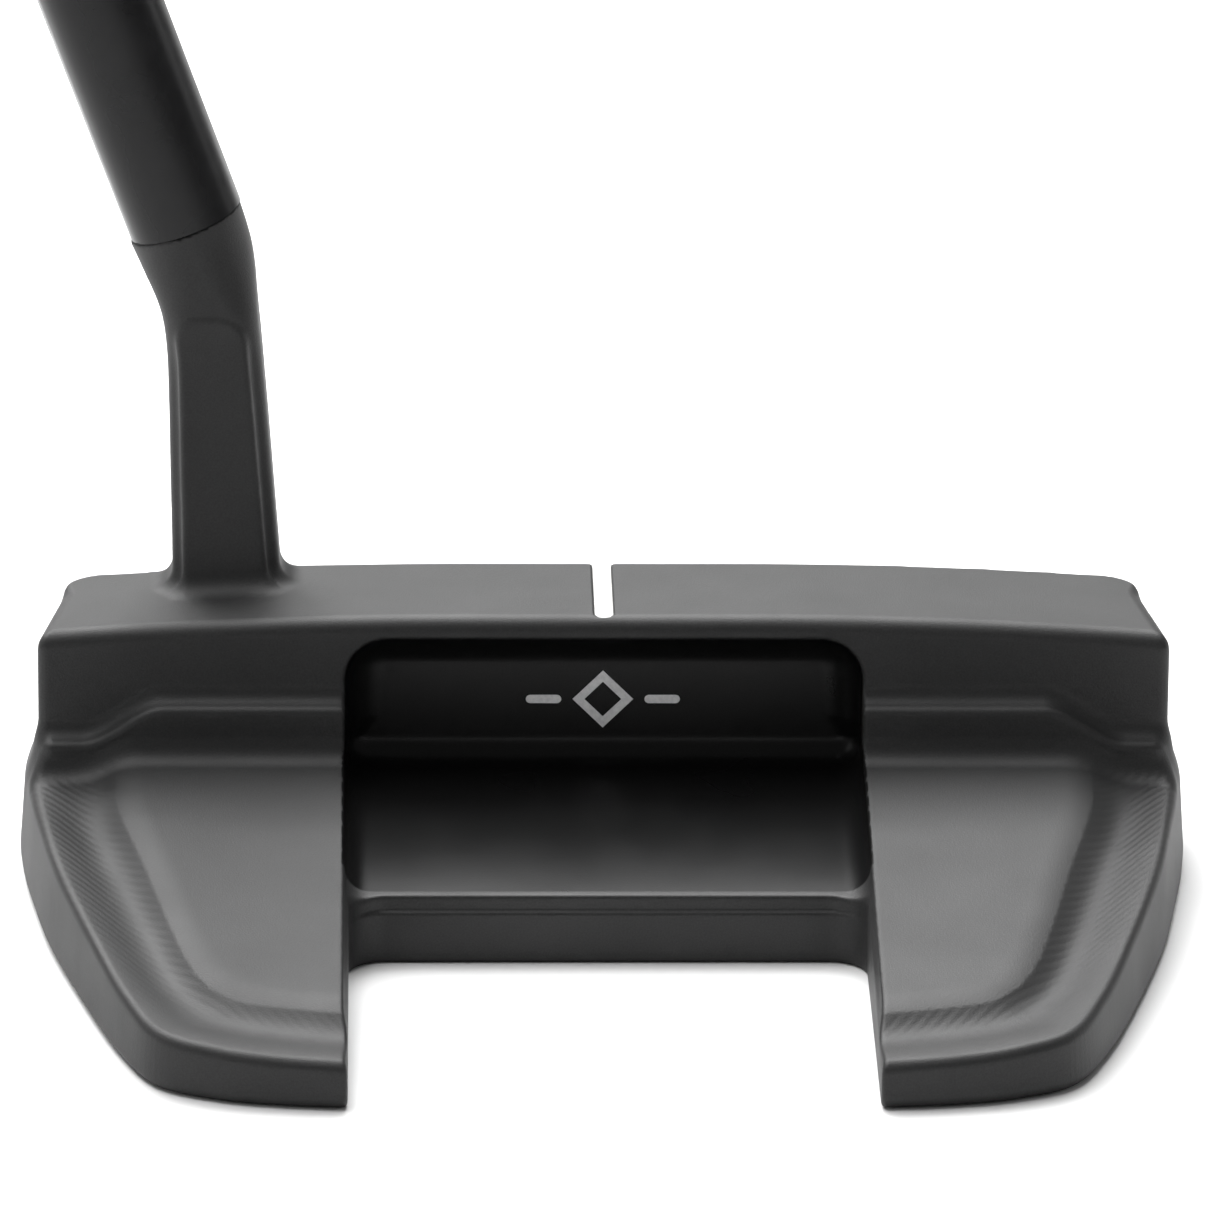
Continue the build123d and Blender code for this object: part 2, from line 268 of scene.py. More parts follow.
def wing_height(x, y):
    """Height of the wings' upper side: a plateau that falls to the rear, rolls over and ends in a cove."""
    crease = smooth_line(CREASE)
    crease = np.column_stack([crease, plateau_height + plateau_slope * crease[:, 1]])
    out, crease_z = line_distance(x, y, crease, with_height=True)
    edge = line_distance(x, y, smooth_line(WING_EDGE))
    # Round the rear end the rim goes on falling towards the slot.
    inboard = np.minimum(x, rear_corner_x) - rear_corner_x
    rim_z = np.interp(y, RIM_Y, RIM_Z) + rear_rim_tilt * inboard * smooth_step(-y, 30.0, 48.0)
    inward = np.maximum(-edge - rim_inset, 0)
    beyond = np.maximum(out, 0)
    u = beyond / np.maximum(beyond + inward, 1e-6)
    dip = cove_depth * u * (1 - u) * (1 + cove_lean * (1 - 2 * u)) * (1 - 0.5 * smooth_step(y, -9.0, 4.0))
    cove = crease_z + (rim_z - crease_z) * u - dip + cove_back_slope * np.maximum(-out, 0)
    plateau = plateau_height + plateau_slope * y
    overlap = np.maximum(roll_over - np.abs(plateau - cove), 0)
    return np.minimum(plateau, cove) - overlap**2 / (4 * roll_over), edge


def neck_field(x, y, z):
    """Distance from the neck: a bar of changing section with an arched panel on its back."""
    table = np.array(NECK)
    rows = smooth_line(table, 10)
    cx, half_w, cy, half_d, corner = (np.interp(z, rows[:, 0], rows[:, k]) for k in range(1, 6))
    sunk = neck_panel_rise * (1 - smooth_step(z, 41.5, 47.0))
    qx = np.abs(x - cx) - half_w + corner
    qy = np.maximum(cy - half_d + sunk - y, y - cy - half_d) + corner
    bar = np.hypot(np.maximum(qx, 0), np.maximum(qy, 0)) + np.minimum(np.maximum(qx, qy), 0) - corner
    panel = round_and(np.abs(x - cx + 0.1) - half_w + neck_panel_inset, z - neck_panel_top, 2.6)
    panel = round_and(panel, np.abs(y - cy) - half_d, 0.5)
    bar = round_or(bar, panel, 0.45)
    joint = shaft_foot + joint_distance * shaft_dir
    cut = (x - joint[0]) * shaft_dir[0] + (y - joint[1]) * shaft_dir[1] + (z - joint[2]) * shaft_dir[2]
    return np.maximum(np.maximum(bar * slope_cosine, cut), neck_foot_z - z)


def head_field(x, y, z):
    """Distance from the head's surface, negative inside. x, y and z broadcast against each other.

    Heights above a sloping surface are scaled by the slope's cosine, to make distances of them.
    """
    half = np.abs(x)
    # Blade.
    end = (half - blade_end_half) * blade_end_facing[0] + (y - blade_end_y) * blade_end_facing[1]
    face = (y - face_top_y) * math.cos(loft) + (z - blade_height) * math.sin(loft)
    plan = round_and(round_and(end, face, face_corner_radius), blade_back_y - y, back_corner_radius)
    top = z - blade_height + crown_fall * np.maximum(half - crown_level_half, 0) ** 2
    crown_radius = crown_back_radius + (crown_front_radius - crown_back_radius) * smooth_step(y, 15.5, 19.0)
    blade = round_and(plan, top, crown_radius)
    # Wings, with the shelf along the foot of the blade's back.
    upper, edge = wing_height(np.abs(x - toe_shift * smooth_step(-y, 0.0, 35.0)), y)
    shelf_top = shelf_height - (shelf_height - shelf_end_height) * smooth_step(half, 38.0, 45.2)
    shelf = round_and(shelf_y - y, z - shelf_top, shelf_edge_radius)
    body = round_or((z - upper) * slope_cosine, shelf, shelf_foot_radius)
    wall = edge + wall_draft * z + shoulder_inset * smooth_step(z, 8.0, 12.2)
    body = round_and(body, wall, rim_radius)
    body = round_or(body, blade, blade_foot_radius)
    body = round_and(body, face, face_edge_radius)
    body = round_or(body, neck_field(x, y, z), neck_foot_radius)
    # Underside: flat, turning up a little at heel and toe, with a rounded edge.
    rise = sole_end_slope * np.maximum(half - sole_level_half, 0) * smooth_step(y, 2.0, 12.0)
    body = round_and(body, rise - z, sole_edge_radius)
    # Room above the central floor, open slot with a lip along its front, sight line.
    roof = round_and(half - room_half, z - room_roof, room_roof_radius)
    low = round_and(roof, (floor_rear + floor_slope * (y - slot_y) - z) * floor_cosine, room_side_radius)
    panel_radius = np.interp(z, (10.8, 12.6, 18.5), (2.0, 3.2, 3.6))
    room = round_and(low, y - panel_y, panel_radius)
    body = round_and(body, -room, room_edge_radius)
    slot = round_and(half - slot_half, y - slot_y, slot_corner)
    body = round_and(body, -slot, slot_edge_radius)
    above_lip = round_and(half - slot_half + 0.2, y - slot_y - lip_setback, slot_corner)
    above_lip = np.maximum(above_lip, floor_rear - lip_height - z)
    body = round_and(body, -above_lip, room_edge_radius)
    groove = np.hypot(x, np.maximum(sight_rear_y - y, 0)) - sight_half
    body = np.maximum(body, -np.maximum(groove, blade_height - sight_depth - z))
    # Recess in the sole, and the weights' holes.
    outer = half - recess_outer_half + recess_outer_curve * (y - recess_front_y) ** 2
    recess = np.maximum(np.maximum(y - recess_front_y, recess_rear_y - y), outer)
    recess = np.maximum(recess, np.minimum(recess_inner_half - half, recess_bridge_y - y))
    body = np.maximum(body, -np.maximum(recess, z - recess_depth))
    bore = np.hypot(half - weight_x, y - weight_y)
    body = np.maximum(body, -np.maximum(bore - counterbore_radius, z - counterbore_depth))
    body = np.maximum(body, -np.maximum(bore - thread_radius, z - thread_depth))
    return body


def surface_net(field, low, step):
    """Turns sampled distances into a quad mesh: one vertex in each cell that the surface crosses."""
    inside = field < 0
    nx, ny, nz = (n - 1 for n in field.shape)
    offsets = [(i, j, k) for i in (0, 1) for j in (0, 1) for k in (0, 1)]
    count = sum(inside[i:i + nx, j:j + ny, k:k + nz].astype(np.int8) for i, j, k in offsets)
    cells = np.argwhere((count > 0) & (count < 8))
    number = np.full((nx, ny, nz), -1, np.int32)
    number[tuple(cells.T)] = np.arange(len(cells))
    total = np.zeros((len(cells), 3))
    hits = np.zeros(len(cells))
    slope = np.zeros((len(cells), 3))
    for a in offsets:
        for axis in range(3):
            if a[axis]:
                continue
            b = tuple(v + (n == axis) for n, v in enumerate(a))
            fa = field[tuple((cells + a).T)]
            fb = field[tuple((cells + b).T)]
            slope[:, axis] += fb - fa
            crossed = (fa < 0) != (fb < 0)
            t = np.where(crossed, fa / np.where(crossed, fa - fb, 1), 0)
            point = np.repeat(np.array([a], float), len(cells), 0)
            point[:, axis] += t
            total += point * crossed[:, None]
            hits += crossed
    local = total / hits[:, None]
    # One step down the slope puts the averaged points back on the surface.
    corner = np.zeros(len(cells))
    for a in offsets:
        weight = np.prod([local[:, n] if a[n] else 1 - local[:, n] for n in range(3)], axis=0)
        corner += weight * field[tuple((cells + a).T)]
    grad = slope / 4
    local -= np.clip(corner / np.maximum((grad**2).sum(1), 1e-9), -0.5, 0.5)[:, None] * grad
    points = low + (cells + local) * step
    quads = []
    for axis in range(3):
        u, v = [n for n in range(3) if n != axis]
        first = [slice(1, -1)] * 3
        first[axis] = slice(0, -1)
        second = list(first)
        second[axis] = slice(1, None)
        change = inside[tuple(first)] != inside[tuple(second)]
        where = np.argwhere(change)
        where[:, u] += 1
        where[:, v] += 1
        rising = inside[tuple(where.T)]
        ring = []
        for du, dv in ((-1, -1), (0, -1), (0, 0), (-1, 0)):
            cell = where.copy()
            cell[:, u] += du
            cell[:, v] += dv
            ring.append(number[tuple(cell.T)])
        ring = np.column_stack(ring)
        flip = rising if axis != 1 else ~rising
        ring[~flip] = ring[~flip][:, ::-1]
        quads.append(ring)
    normals = grad / np.linalg.norm(grad, axis=1, keepdims=True)
    return points, np.vstack(quads), normals


# ------------------------------------------------------------------ mesh helpers
def make_mesh(name, points, faces, corner_normals=None):
    """A smooth-shaded mesh object from points in mm and arrays of faces with as many sides as columns."""
    mesh = bpy.data.meshes.new(name)
    points = np.asarray(points, np.float32) * MM
    mesh.vertices.add(len(points))
    mesh.vertices.foreach_set("co", points.ravel())
    sides = np.concatenate([np.full(len(f), f.shape[1]) for f in faces])
    mesh.loops.add(int(sides.sum()))
    mesh.loops.foreach_set("vertex_index", np.concatenate([f.ravel() for f in faces]).astype(np.int32))
    mesh.polygons.add(len(sides))
    mesh.polygons.foreach_set("loop_start", (np.cumsum(sides) - sides).astype(np.int32))
    mesh.update(calc_edges=True)
    mesh.polygons.foreach_set("use_smooth", [True] * len(mesh.polygons))
    if corner_normals is not None:
        mesh.normals_split_custom_set([tuple(n) for n in corner_normals])
    mesh.update()
    made = bpy.data.objects.new(name, mesh)
    scene.collection.objects.link(made)
    return made


def edge_array(mesh):
    pairs = np.zeros(len(mesh.edges) * 2, np.int32)
    mesh.edges.foreach_get("vertices", pairs)
    return pairs.reshape(-1, 2)


def mark_loops():
    """Outlines of the cavity mark on the panel as (x, z) loops: diamond outside and inside, and two bars."""
    loops = []
    for reach in (diamond_outer, diamond_inner):
        loops.append([(reach, mark_z), (0, mark_z + reach), (-reach, mark_z), (0, mark_z - reach)])
    turns = np.linspace(-math.pi / 2, math.pi / 2, 9)
    for side in (1, -1):
        bar = [(bar_to + bar_radius * math.cos(t), mark_z + bar_radius * math.sin(t)) for t in turns]
        bar += [(bar_from - bar_radius * math.cos(t), mark_z - bar_radius * math.sin(t)) for t in turns]
        loops.append([(side * x, z) for x, z in bar])
    return loops


def in_mark(x, z):
    """Whether a point of the panel lies within the mark's grooves."""
    ring = abs(x) + abs(z - mark_z)
    bar = math.hypot(max(bar_from - abs(x), abs(x) - bar_to, 0), z - mark_z)
    return diamond_inner < ring < diamond_outer or bar < bar_radius


def engrave_mark(points, faces):
    """Fills the window left in the panel with a flat sheet that has the mark's grooves cut in it."""
    directed = set()
    for block in faces:
        for k in range(block.shape[1]):
            directed.update(zip(block[:, k].tolist(), block[:, (k + 1) % block.shape[1]].tolist()))
    rim = sorted({a for a, b in directed if (b, a) not in directed})
    flat = [Vector((points[i][0], points[i][2])) for i in rim]
    constraints = []
    for loop in mark_loops():
        start = len(flat)
        flat += [Vector(p) for p in loop]
        constraints += [(start + i, start + (i + 1) % len(loop)) for i in range(len(loop))]
    corners, _, triangles, origins, _, _ = delaunay_2d_cdt(flat, constraints, [], 0, 1e-5)
    surface = {}
    floor = {}
    new_points = []

    def corner_index(i, deep):
        known = floor if deep else surface
        if i not in known:
            source = [k for k in origins[i] if k < len(rim)]
            if source and not deep:
                known[i] = rim[source[0]]
            else:
                known[i] = len(points) + len(new_points)
                new_points.append((corners[i].x, panel_y + (mark_depth if deep else 0), corners[i].y))
        return known[i]

    sheet = []
    deep_edges = {}
    for tri in triangles:
        x = sum(corners[i].x for i in tri) / 3
        z = sum(corners[i].y for i in tri) / 3
        deep = in_mark(x, z)
        sheet.append([corner_index(i, deep) for i in tri])
        if deep:
            deep_edges.update(dict.fromkeys(zip(tri, [*tri[1:], tri[0]])))
    walls = []
    for a, b in deep_edges:
        if (b, a) not in deep_edges:
            top_a, top_b = corner_index(a, False), corner_index(b, False)
            low_a, low_b = corner_index(a, True), corner_index(b, True)
            walls += [[low_b, low_a, top_a], [low_b, top_a, top_b]]
    return np.vstack([points, new_points]), np.array(sheet), np.array(walls)


def head_mesh():
    """The head's skin from its distance field, thinned where it's flat, with the mark cut in."""
    step = 0.3
    # Sampled box, a little larger than the head.
    low = np.array([-51.6, -50.75, -0.65])
    high = np.array([51.6, 27.4, 57.4])
    axes = [np.arange(a, b + step, step) for a, b in zip(low, high)]
    x, y, z = np.meshgrid(*axes, indexing="ij", sparse=True)
    field = head_field(x, y, z).astype(np.float32)
    points, quads, normals = surface_net(field, low, step)
    # Window in the panel for the engraved sheet.
    window = (np.abs(points[:, 1] - panel_y) < panel_tolerance) & (np.abs(points[:, 0]) < mark_window_half)
    window &= (points[:, 2] > mark_z - mark_window_height) & (points[:, 2] < mark_z + mark_window_height)
    quads = quads[~window[quads].all(1)]
    draft = make_mesh("head_draft", points, [quads])
    # Flat stretches away from every edge are thinned out.
    pairs = edge_array(draft.data)
    flat = np.ones(len(points), bool)
    bent = (normals[pairs[:, 0]] * normals[pairs[:, 1]]).sum(1) < flat_cosine
    flat[pairs[bent].ravel()] = False
    flat[window] = False
    for _ in range(2):
        touched = ~flat[pairs[:, 0]] | ~flat[pairs[:, 1]]
        flat[pairs[touched].ravel()] = False
    draft.vertex_groups.new(name="flat").add(np.flatnonzero(flat).tolist(), 1.0, "REPLACE")
    thin = draft.modifiers.new("thin", "DECIMATE")
    thin.ratio = thin_ratio
    thin.vertex_group = "flat"
    thin.use_collapse_triangulate = True
    result = bpy.data.meshes.new_from_object(draft.evaluated_get(bpy.context.evaluated_depsgraph_get()))
    points = np.zeros(len(result.vertices) * 3, np.float32)
    result.vertices.foreach_get("co", points)
    points = points.reshape(-1, 3).astype(float) / MM
    used = np.zeros(len(result.loops), np.int32)
    result.loops.foreach_get("vertex_index", used)
    triangles = used.reshape(-1, 3)
    bpy.data.objects.remove(draft)
    # Loose points left by the window are dropped.
    keep = np.zeros(len(points), bool)
    keep[triangles.ravel()] = True
    triangles = (np.cumsum(keep) - 1)[triangles]
    points = points[keep]
    normals = field_normals(points)
    points, sheet, walls = engrave_mark(points, [triangles])
    flat_normals = np.tile((0.0, -1.0, 0.0), (sheet.size, 1))
    edges = points[walls]
    wall_normals = np.cross(edges[:, 1] - edges[:, 0], edges[:, 2] - edges[:, 0])
    wall_normals /= np.linalg.norm(wall_normals, axis=1, keepdims=True)
    all_normals = np.vstack([normals[triangles.ravel()], flat_normals, np.repeat(wall_normals, 3, 0)])
    return make_mesh("head_body", points, [triangles, sheet, walls], all_normals)


def field_normals(points, reach=0.12):
    """Outward directions at points on the head, from the distance field."""
    normals = np.zeros_like(points)
    for axis in range(3):
        shift = np.zeros(3)
        shift[axis] = reach
        ahead, behind = (points + shift).T, (points - shift).T
        normals[:, axis] = head_field(*ahead) - head_field(*behind)
    return normals / np.linalg.norm(normals, axis=1, keepdims=True)


def paint_head(mesh):
    """How strongly the cutter's passes show at each point, and which faces are milled smooth and take the
    darker material that paints shade into the room.
    """
    co = np.zeros(len(mesh.vertices) * 3, np.float32)
    mesh.vertices.foreach_get("co", co)
    x, y, z = (co.reshape(-1, 3).astype(float) / MM).T
    half = np.abs(x)
    crease = line_distance(half, y, smooth_line(CREASE))
    edge = line_distance(half, y, smooth_line(WING_EDGE))
    upper = wing_height(half, y)[0]
    on_top = np.exp(-((z - upper) / 0.8) ** 2) * (y < 3.4)
    bank = np.exp(-((crease - 1.0) / 1.2) ** 2) * 0.5
    outer = np.exp(-((edge + 3.2) / 2.6) ** 2) * smooth_step(y, -52.0, -6.0)
    passes = on_top * np.clip(bank + outer, 0, 1) * (crease > 0)
    layer = mesh.attributes.new("passes", "FLOAT", "POINT")
    layer.data.foreach_set("value", passes.astype(np.float32))
    # The room above the central floor, up to its rounded rim, is milled and not blasted, so smoother; its
    # material is also darker in colour and reflection, which is painted shade in the room.
    inner = (half < room_half + 0.3) & (z < room_roof + 0.4) & (z > floor_rear - 1.0)
    inner &= (y < panel_y + 0.5) & (y > slot_y + 1.0)
    inner &= (y > blade_back_y + 0.5) | (z < plateau_height + 1.5)
    corners = np.zeros(len(mesh.loops), np.int32)
    mesh.loops.foreach_get("vertex_index", corners)
    milled_with_painted_shade = inner[corners.reshape(-1, 3)].all(1)
    mesh.polygons.foreach_set("material_index", milled_with_painted_shade.astype(np.int32))


def turned(name, rings, sides):
    """A closed solid from rings of (x, y, z) points, shut at both ends by a fan."""
    rings = [np.asarray(r, float) for r in rings]
    points = np.vstack([*rings, rings[0].mean(0), rings[-1].mean(0)])
    around = np.arange(sides)
    ahead = (around + 1) % sides
    quads = []
    for i in range(len(rings) - 1):
        a, b = i * sides, (i + 1) * sides
        quads.append(np.column_stack([a + around, a + ahead, b + ahead, b + around]))
    first, last = len(points) - 2, len(points) - 1
    end = (len(rings) - 1) * sides
    fans = np.vstack([
        np.column_stack([ahead, around, np.full(sides, first)]),
        np.column_stack([end + around, end + ahead, np.full(sides, last)]),
    ])
    return make_mesh(name, points, [np.vstack(quads), fans])


def closed_tube(name, rings, sides):
    """A tube whose last ring joins its first, so the rings run up its outside and down its inside."""
    around = np.arange(sides)
    ahead = (around + 1) % sides
    quads = []
    for i in range(len(rings)):
        a, b = i * sides, ((i + 1) % len(rings)) * sides
        quads.append(np.column_stack([a + around, a + ahead, b + ahead, b + around]))
    return make_mesh(name, np.vstack(rings), [np.vstack(quads)])


def sharpen(obj, angle=38):
    """Creases the shading where faces meet at more than the angle."""
    obj.data.set_sharp_from_angle(angle=math.radians(angle))


# ------------------------------------------------------------------ sole weights
def weight_mesh(name, side):
    """A screw-in weight: chamfered flange, hexagon socket and a real thread, opening downwards."""
    sides = 72
    turn = np.linspace(0, 2 * math.pi, sides, endpoint=False)
    hexagon = socket_half / np.cos((turn + math.pi / 6) % (math.pi / 3) - math.pi / 6)
    cx, cy = side * weight_x, weight_y
    flange_low, flange_high, shank_high = 0.4, 2.8, 7.9
    root_radius, thread_height = 4.4, 0.53

    def ring(radius, z):
        radius = np.broadcast_to(radius, turn.shape)
        height = np.broadcast_to(z, turn.shape)
        return np.column_stack([cx + radius * np.cos(turn), cy + radius * np.sin(turn), height])

    # Socket, from its drilled bottom out to its chamfer.
    rings = [ring(0.9, 4.35), ring(hexagon * 0.97, 4.0), ring(hexagon, 3.9), ring(hexagon, 0.75)]
    rings += [ring(hexagon * 1.04, 0.6), ring(3.35, 0.42), ring(3.5, flange_low)]
    # Turned groove round the socket, and the flange's chamfer.
    for radius, z in ((4.6, flange_low), (4.75, 0.52), (5.05, 0.52), (5.2, flange_low)):
        rings.append(ring(radius, z))
    rings += [ring(7.35, flange_low), ring(7.5, 0.42)]
    rings += [ring(flange_radius - 0.04, 0.76), ring(flange_radius, 0.86)]
    # Fine grooves round the flange's edge.
    for z in np.arange(1.1, 2.5, 0.35):
        rings += [ring(flange_radius, z), ring(flange_radius - 0.06, z + 0.08), ring(flange_radius, z + 0.16)]
    rings += [ring(flange_radius, flange_high - 0.12), ring(flange_radius - 0.1, flange_high)]
    rings += [ring(4.55, flange_high), ring(root_radius, 2.95), ring(root_radius, 3.35)]
    for z in np.arange(3.5, shank_high - 0.35, 0.1):
        phase = (z / thread_pitch - turn / (2 * math.pi)) % 1.0
        crest = np.clip((1 - np.abs(2 * phase - 1)) * 1.35 - 0.15, 0, 1)
        fade = min(1.0, (z - 3.4) / 0.4, (shank_high - 0.3 - z) / 0.4)
        rings.append(ring(root_radius + thread_height * crest * max(fade, 0), z))
    rings += [ring(4.35, shank_high - 0.3), ring(4.1, shank_high), ring(0.4, shank_high)]
    made = turned(name, rings, sides)
    sharpen(made, 50)
    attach(made, name.replace("_screw", ""))
    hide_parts(name.replace("_screw", ""))
    return made


# ------------------------------------------------------------------ grip
# Sections along the club: distance from its foot, width, depth, back radius and front corner radius.
GRIP = (
    (596.6, 20.0, 20.4, 10.2, 6.0),
    (640.0, 21.5, 22.0, 10.8, 5.5),
    (710.0, 23.4, 24.6, 12.4, 5.0),
    (775.0, 25.0, 27.5, 15.0, 5.0),
    (812.0, 25.8, 29.4, 16.8, 5.0),
    (842.0, 26.2, 28.2, 15.4, 5.0),
    (860.6, 25.6, 27.0, 14.3, 5.0),
)


def grip_radius(width, depth, back, corner, turn):
    """Reach of the grip's section from the shaft axis in each direction: the hull of three circles."""
    front = depth - back
    circles = [(width / 2 - back, 0.0, width / 2)]
    circles += [(front - corner, s * (width / 2 - corner - 0.6), corner) for s in (1, -1)]
    facing = np.linspace(0, 2 * math.pi, 720, endpoint=False)
    support = np.max([cx * np.cos(facing) + cy * np.sin(facing) + r for cx, cy, r in circles], axis=0)
    toward = np.cos(turn[:, None] - facing[None, :])
    return np.min(np.where(toward > 0.05, support / np.maximum(toward, 0.05), 1e9), axis=1)


def shaft_ring(radius, turn, distance):
    """Points round the shaft's axis, at a distance along it from the club's foot."""
    sideways = np.outer(radius * np.cos(turn), shaft_across)
    forwards = np.outer(radius * np.sin(turn), (0.0, 1.0, 0.0))
    return shaft_foot + distance * shaft_dir + (sideways + forwards)


def grip_relief(turn, distance, start, end):
    """Depth of the moulded pattern, in mm: lozenges on the flat front, fine rings round the back."""
    inside = smooth_step(distance, start + 14, start + 17) * (1 - smooth_step(distance, end - 17, end - 14))
    angle = (turn + math.pi) % (2 * math.pi) - math.pi
    front = 1 - smooth_step(np.abs(angle), 0.50, 0.60)
    back = smooth_step(np.abs(angle), 0.95, 1.05)
    across = angle * 10.5
    a = np.sin(math.pi * (distance + across * 1.3) / 4.2)
    b = np.sin(math.pi * (distance - across * 1.3) / 4.2)
    lozenge = np.exp(-(a / 0.35) ** 2) + np.exp(-(b / 0.35) ** 2)
    rings = np.exp(-(np.sin(math.pi * distance / 3.0) / 0.4) ** 2)
    return inside * (0.32 * front * np.clip(lozenge, 0, 1) + 0.25 * back * rings)


def grip_mesh():
    """The rubber sleeve, a closed tube with its moulded pattern."""
    sides = 112
    turn = np.linspace(0, 2 * math.pi, sides, endpoint=False)
    stations = smooth_line(GRIP, 6)
    start, end = stations[0, 0], stations[-1, 0]
    outlines = np.array([grip_radius(*row[1:], turn) for row in stations])

    def outline(distance):
        return np.array([np.interp(distance, stations[:, 0], outlines[:, k]) for k in range(sides)])

    bore = shaft_butt_radius - (shaft_taper_end - start) * shaft_taper + tape_thickness
    rings = [shaft_ring(np.full(sides, bore), turn, start)]
    for inset, rise in ((1.0, 0.0), (0.62, 0.12), (0.3, 0.38), (0.08, 0.8)):
        rings.append(shaft_ring(outline(start) - inset, turn, start + rise))
    for distance in np.arange(start + 1.6, end, 0.75):
        radius = outline(distance) - grip_relief(turn, distance, start, end)
        rings.append(shaft_ring(radius, turn, distance))
    rings.append(shaft_ring(outlines[-1], turn, end))
    rings.append(shaft_ring(np.full(sides, sleeve_butt_bore), turn, end))
    made = closed_tube("grip_rubber", rings, sides)
    sharpen(made, 50)
    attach(made, "club")
    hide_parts("grip_sleeve")
    return made


def cap_mesh():
    """The end cap: a plug inside the shaft, a grooved rim, two rings on its end and the vent."""
    sides = 112
    turn = np.linspace(0, 2 * math.pi, sides, endpoint=False)
    outline = grip_radius(*GRIP[-1][1:], turn)
    start, end = GRIP[-1][0], club_length
    rings = []
    for radius, rise in ((vent_radius, -cap_plug_length), (6.4, -cap_plug_length), (6.8, -5.6), (6.82, 0.0)):
        rings.append(shaft_ring(np.full(sides, radius), turn, start + rise))
    rim = ((1.0, 0.0), (1.0, 0.55), (0.985, 0.7), (0.985, 0.95), (1.0, 1.1), (1.0, 1.7))
    for share, rise in rim:
        rings.append(shaft_ring(outline * share, turn, start + rise))
    for inset, rise in ((0.1, 2.2), (0.42, 2.62), (0.85, 2.88), (1.4, 3.0)):
        rings.append(shaft_ring(outline - inset, turn, start + rise))
    for outer_share in (0.76, 0.55):
        for step, sink in ((0.0, 0.0), (0.02, 0.25), (0.06, 0.25), (0.08, 0.0)):
            rings.append(shaft_ring(outline * (outer_share - step), turn, end - sink))
    for radius, sink in ((3.4, 0.0), (1.9, 0.0), (vent_radius + 0.05, 0.25), (vent_radius, 0.6)):
        rings.append(shaft_ring(np.full(sides, radius), turn, end - sink))
    made = closed_tube("grip_cap", rings, sides)
    sharpen(made, 50)
    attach(made, "club")
    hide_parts("grip_end_cap")
    return made


# ------------------------------------------------------------------ materials
class Material:
    """A small builder for procedural materials in object coordinates, so patterns have real sizes."""

    def __init__(self, name, base, roughness, metallic=0.0, ior=1.5):
        self.made = bpy.data.materials.new(name)
        self.made.use_nodes = True
        self.tree = self.made.node_tree
        self.shader = self.tree.nodes["Principled BSDF"]
        self.shader.inputs["Base Color"].default_value = (*base, 1)
        self.shader.inputs["Roughness"].default_value = roughness
        self.shader.inputs["Metallic"].default_value = metallic
        self.shader.inputs["IOR"].default_value = ior
        self.place = self.tree.nodes.new("ShaderNodeTexCoord").outputs["Object"]
        self.height = None

    def node(self, kind, **settings):
        made = self.tree.nodes.new(kind)
        for key, value in settings.items():
            setattr(made, key, value)
        return made

    def link(self, source, target):
        self.tree.links.new(source, target)

    def math(self, operation, a, b=None):
        made = self.node("ShaderNodeMath", operation=operation)
        for socket, value in zip(made.inputs, (a, b)):
            if value is None:
                continue
            if isinstance(value, (int, float)):
                socket.default_value = value
            else:
                self.link(value, socket)
        return made.outputs[0]

    def noise(self, size_mm, detail=2.0, stretch=(1, 1, 1)):
        """Noise whose features are about size_mm across, drawn out along an axis by stretch."""
        scale = self.node("ShaderNodeMapping")
        scale.inputs["Scale"].default_value = tuple(1000.0 / size_mm / s for s in stretch)
        self.link(self.place, scale.inputs["Vector"])
        made = self.node("ShaderNodeTexNoise")
        made.inputs["Scale"].default_value = 1.0
        made.inputs["Detail"].default_value = detail
        self.link(scale.outputs[0], made.inputs["Vector"])
        return made.outputs["Fac"]

    def remap(self, value, low, high, out_low, out_high):
        made = self.node("ShaderNodeMapRange")
        self.link(value, made.inputs["Value"])
        for key, number in (("From Min", low), ("From Max", high), ("To Min", out_low), ("To Max", out_high)):
            made.inputs[key].default_value = number
        return made.outputs["Result"]

    def attribute(self, name):
        return self.node("ShaderNodeAttribute", attribute_name=name).outputs["Fac"]

    def colours(self, value, *stops):
        ramp = self.node("ShaderNodeValToRGB")
        band = ramp.color_ramp
        while len(band.elements) < len(stops):
            band.elements.new(0.5)
        for element, (place, colour) in zip(band.elements, stops):
            element.position = place
            element.color = (*colour, 1)
        self.link(value, ramp.inputs["Fac"])
        self.link(ramp.outputs["Color"], self.shader.inputs["Base Color"])

    def rough(self, value):
        self.link(value, self.shader.inputs["Roughness"])

    def bump(self, value, depth_mm):
        """Adds a height of depth_mm to what is there already."""
        made = self.node("ShaderNodeBump")
        made.inputs["Strength"].default_value = 1.0
        made.inputs["Distance"].default_value = depth_mm * MM
        self.link(value, made.inputs["Height"])
        if self.height is not None:
            self.link(self.height, made.inputs["Normal"])
        self.height = made.outputs["Normal"]
        self.link(self.height, self.shader.inputs["Normal"])


